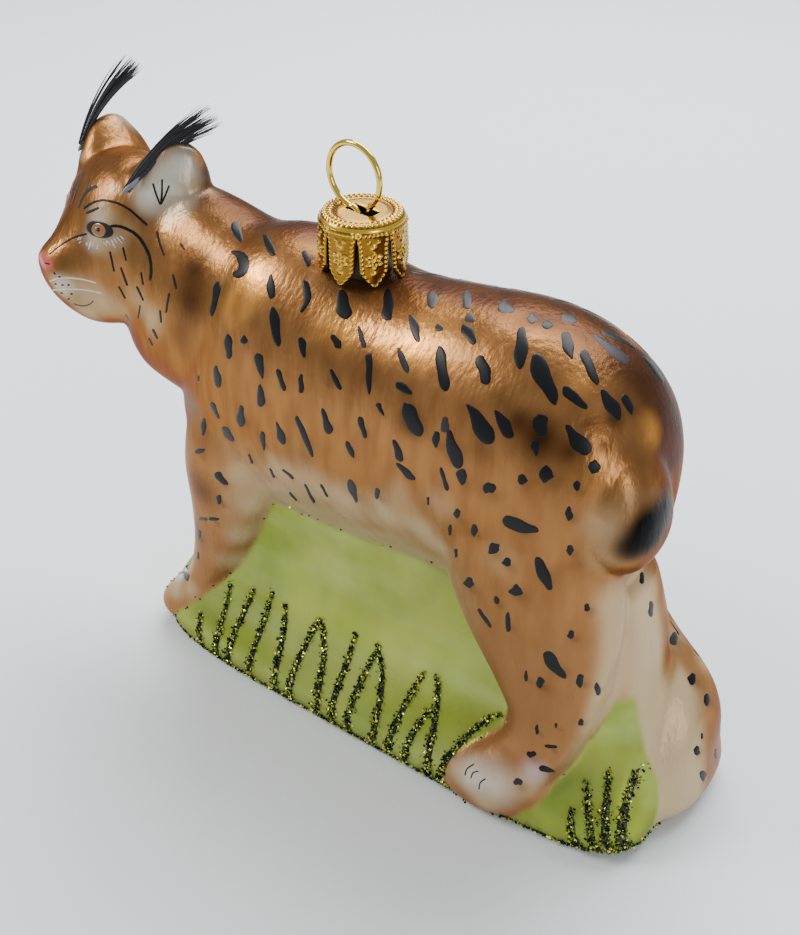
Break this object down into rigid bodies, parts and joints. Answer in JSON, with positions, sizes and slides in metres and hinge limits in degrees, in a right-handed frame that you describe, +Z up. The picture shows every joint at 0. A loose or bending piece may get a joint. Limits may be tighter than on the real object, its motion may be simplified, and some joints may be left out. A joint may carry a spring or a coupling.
{
  "type": "blown glass lynx ornament",
  "caption": "Hand-painted glass tree ornament shaped as a standing lynx on a strip of grass, with bristle ear tufts, a metal petal cap and a wire hanging loop.",
  "frame": {"origin": "middle of the flat foot of the grass base", "axes": "+Z up; the lynx stands facing -Y with its left side towards +X; its head is turned to its left"},
  "size_m": [0.0442, 0.1402, 0.1088],
  "materials": {
    "painted_glass": "silvered glass under bronze-orange satin lacquer with painted black spots and cream below",
    "grass_glass": "silvered glass under pearly leaf-green lacquer with dark glitter blades",
    "silvered_glass": "bare silvered glass neck",
    "gold_metal": "bright stamped sheet with beaded relief",
    "gold_wire": "bright drawn wire",
    "bristle": "fine black bristles stiffened with glue"
  },
  "bodies": {
    "root": {"head": "painted_glass", "neck": "painted_glass", "torso": "painted_glass", "leg_front_left": "painted_glass", "leg_front_right": "painted_glass", "leg_hind_left": "painted_glass", "leg_hind_right": "painted_glass", "tail": "painted_glass", "ear_left": "painted_glass", "ear_right": "painted_glass", "ear_tuft_left": "bristle", "ear_tuft_right": "bristle", "grass_base": "grass_glass", "glass_neck": "silvered_glass", "hanger_cap": "gold_metal", "hanger_loop": "gold_wire"}
  },
  "joints": []
}
